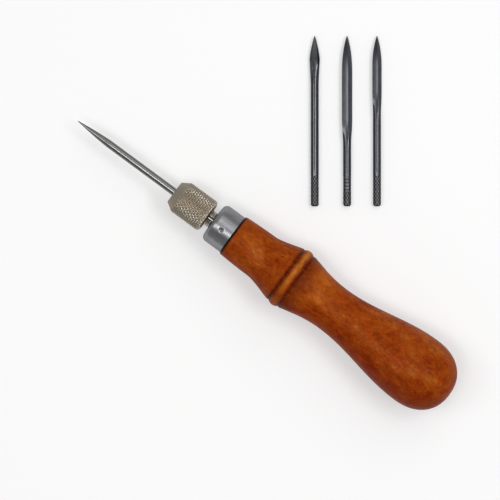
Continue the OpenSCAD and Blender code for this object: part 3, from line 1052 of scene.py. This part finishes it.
def point_ring(z, half_w, half_t, flat, blend):
    """A whole section of a loose point, from its ground form at blend 0 to a round one at 1."""
    one = []
    for i, (x, y) in enumerate(quarter(half_w, half_t, flat, QUARTER_STEPS)):
        a = math.pi / 2 * i / QUARTER_STEPS
        round_x = SHANK_R * math.cos(a)
        round_y = SHANK_R * math.sin(a)
        one.append((x + (round_x - x) * blend, y + (round_y - y) * blend))
    whole = one[:-1] + [(-x, y) for x, y in one[:0:-1]]
    whole += [(-x, -y) for x, y in whole]
    return [(y, x, z) for x, y in whole]


def tail_cut(place, along, banded):
    """Cuts the knurl, or the bands in front of it, into a point of the tail."""
    x, y, z = place
    if banded and along < BAND_REACH:
        turn = along / BAND_PITCH
        groove_share = max(0.0, 1 - abs(turn - round(turn)) / BAND_HALF_SHARE)
        depth = BAND_LEAST + BAND_GROOVE * groove_share
    else:
        angle = math.atan2(y, x)
        depth = knurl(angle, z, TAIL_KNURL_STARTS, TAIL_KNURL_PITCH, TAIL_KNURL_LAND)
    r = math.hypot(x, y)
    keep = (r - TAIL_KNURL_DEPTH * depth * smooth(0, TAIL_KNURL_FADE, along)) / r
    return (x * keep, y * keep, z)


def stations(form):
    """Distances of a loose point's sections from its tip."""
    nose, ground = form["nose"], form["ground"]
    blade_end = ground - form["runout"]
    places = [TIP_R + (nose - TIP_R) * t ** TIP_CROWDING for t in spread(0, 1, TIP_STEPS)]
    if blade_end > nose:
        places += spread(nose, blade_end, BLADE_STEPS)[1:]
    places += spread(blade_end, ground, RUNOUT_STEPS)[1:]
    places += spread(ground, tail_from, SHANK_STEPS)[1:]
    places += spread(tail_from, POINT_LEN - TAIL_CHAMFER, TAIL_STEPS)[1:]
    return places


def section(form, d, banded):
    """A loose point's section at a distance from its tip."""
    least = TIP_R / form["half_w"]
    grown = 1
    if d < form["nose"]:
        grown = 1 - (1 - least) * (1 - d / form["nose"]) ** form["power"]
    blade_end = form["ground"] - form["runout"]
    run = min(1.0, max(0.0, (d - blade_end) / form["runout"]))
    blend = ease(run, form["leave"], form["join"])
    half_w = form["half_w"] * grown
    half_t = form["half_t"] * grown
    ring = point_ring(POINT_LEN - d, half_w, half_t, half_w * form["flat"], blend)
    if d > tail_from:
        ring = [tail_cut(p, d - tail_from, banded) for p in ring]
    return ring


def tail_hollow(p):
    """How deep a point of a loose point's tail lies in its knurl."""
    if p.z > TAIL_KNURL_LEN or p.z < TAIL_CHAMFER:
        return 0.0
    return smooth(KNURL_CREST, 1, (SHANK_R - math.hypot(p.x, p.y)) / TAIL_KNURL_DEPTH)


def tail_rubbed(p):
    """Where the crests of a loose point's knurl are rubbed bare."""
    if p.z > TAIL_KNURL_LEN - TAIL_MATT_FADE or p.z < TAIL_CHAMFER:
        return 0.0
    return 1 - smooth(0.0, TAIL_RUB, (SHANK_R - math.hypot(p.x, p.y)) / TAIL_KNURL_DEPTH)


def tail_matt(p):
    """Where a loose point's tail is dull."""
    return 1 - smooth(TAIL_KNURL_LEN - TAIL_MATT_FADE, TAIL_KNURL_LEN, p.z)


def ground_point(name, form, banded):
    """A loose point: ground nose and blade that run out into a round shank with a knurled tail."""
    rings = [section(form, d, banded) for d in stations(form)]
    end_share = (SHANK_R - TAIL_CHAMFER) / SHANK_R
    shank = point_ring(0, form["half_w"], form["half_t"], 0, 1)
    rings.append([(x * end_share, y * end_share, z) for x, y, z in shank])
    verts, faces = loft(rings)
    # The middle of the first fan becomes the tip
    verts[len(rings) * len(rings[0])] = (0, 0, POINT_LEN)
    mesh = mesh_of(name, (verts, faces))
    mark(mesh, "hollow", tail_hollow)
    mark(mesh, "rubbed", tail_rubbed)
    mark(mesh, "matt", tail_matt)
    return mesh


def loose_points():
    """The three dark points that lie beside the tool."""
    material = turned_metal(
        "dark_steel", colour(80, 81, 86), colour(46, 46, 48), rough=0.2, marks=DARK_MARKS,
        depth=DARK_MARK_DEPTH, edge=0.4, bare=colour(108, 108, 110), matt=0.36,
    )
    points = (
        ("spear", SPEAR, 0.0, False),
        ("long_diamond", LONG_DIAMOND, DIAMOND_ROLL, True),
        ("short_diamond", SHORT_DIAMOND, DIAMOND_ROLL, False),
    )
    for gap, (name, form, roll, banded) in zip(SPARE_GAPS, points):
        mesh = ground_point(name + "_awl_point", form, banded)
        dress(mesh, lay_point(gap, roll), material, "loose_" + name, name + "_point")


# Stage

def bench():
    """A plain pale floor at the height that the tool rests on."""
    floor_r = FLOOR_R * MM
    corners = [
        (floor_r * math.cos(a), floor_r * math.sin(a), cad_low.z)
        for a in spread(0, TAU, FLOOR_SEGMENTS)[:-1]
    ]
    mesh = bpy.data.meshes.new("bench")
    mesh.from_pydata(corners, [], [list(range(len(corners)))])
    floor = add("bench", mesh)
    material, tree, shader = new_material(
        "bench_white", Base_Color=grey(FLOOR_GREY), Roughness=FLOOR_ROUGH, Emission_Color=grey(1.0)
    )
    rays = node(tree, "ShaderNodeLightPath").outputs
    seen = rays["Is Camera Ray"]
    for kind in ("Is Glossy Ray", "Is Transmission Ray"):
        seen = maths(tree, "MAXIMUM", seen, rays[kind])
    lift = maths(tree, "MULTIPLY", seen, FLOOR_LIGHT)
    tree.links.new(lift, shader.inputs["Emission Strength"])
    mesh.materials.append(material)


def studio_world():
    """Soft light all round: dimmer part of the way up, and brighter overhead and towards -Y."""
    world = bpy.data.worlds.new("studio")
    world.use_nodes = True
    tree = world.node_tree
    direction = node(tree, "ShaderNodeTexCoord").outputs["Generated"]
    parts = node(tree, "ShaderNodeSeparateXYZ", {0: direction}).outputs
    height = levels(tree, parts["Z"], WORLD_HEIGHTS)
    # Y from -1 to 1 becomes a place from 0 to 1
    across = maths(tree, "MULTIPLY_ADD", parts["Y"], 0.5, 0.5)
    light = multiply(tree, height, levels(tree, across, WORLD_SIDES))
    tree.links.new(light, tree.nodes["Background"].inputs["Color"])
    bpy.context.scene.world = world


def softbox(name, towards, size, radiance):
    """A soft lamp that looks back at the tool from a direction, evenly bright over its face."""
    wide, deep = [s * MM for s in size]
    lamp = bpy.data.lights.new(name, "AREA")
    lamp.shape = "RECTANGLE"
    lamp.size = wide
    lamp.size_y = deep
    lamp.energy = radiance * math.pi * wide * deep
    holder = add(name, lamp)
    away = Vector(towards).normalized()
    holder.location = away * LAMP_DISTANCE * MM
    holder.rotation_euler = away.to_track_quat("Z", "Y").to_euler()


def image_side(lean):
    """A direction that leans from straight up towards the right of the photo."""
    aside = photo_right * math.sin(lean)
    return (aside.x, aside.y, math.cos(lean))


def lamps():
    """A broad fill from -Y, and three lamps over the tool."""
    front = (FRONT_ASIDE, math.sin(FRONT_LEAN), math.cos(FRONT_LEAN))
    softbox("fill", FILL_TOWARDS, size=(600, 700), radiance=0.95)
    softbox("front_lamp", front, size=(240, 180), radiance=8.6)
    softbox("right_lamp", image_side(SIDE_LEAN), size=(450, 200), radiance=7.0)
    softbox("left_lamp", image_side(-SIDE_LEAN), size=(300, 280), radiance=4.0)


def camera():
    """Looks straight down, turned and placed so that the tool lies as in the photo."""
    right = Vector((photo_right.x, photo_right.y, 0))
    up = Vector((-photo_right.y, photo_right.x, 0))
    off = (Vector((PHOTO_SIZE, PHOTO_SIZE)) / 2 - PHOTO_SHOULDER) * PIXEL * MM
    distance = CAMERA_DISTANCE * MM
    lens = bpy.data.cameras.new("photo_camera")
    lens.sensor_width = SENSOR_W
    lens.lens = SENSOR_W * distance / (PHOTO_SIZE * PIXEL * MM)
    lens.clip_end = FAR_CLIP * MM
    eye = add("photo_camera", lens)
    turn = Matrix((right, up, Vector((0, 0, 1)))).transposed().to_4x4()
    place = right * off.x - up * off.y + Vector((0, 0, distance))
    eye.matrix_world = Matrix.Translation(place) @ turn
    bpy.context.scene.camera = eye


handle()
ferrule()
ferrule_brad()
chuck_stem()
collet()
chuck_nut()
round_point()
loose_points()
bench()
studio_world()
lamps()
camera()
bpy.context.scene.view_settings.view_transform = "Standard"
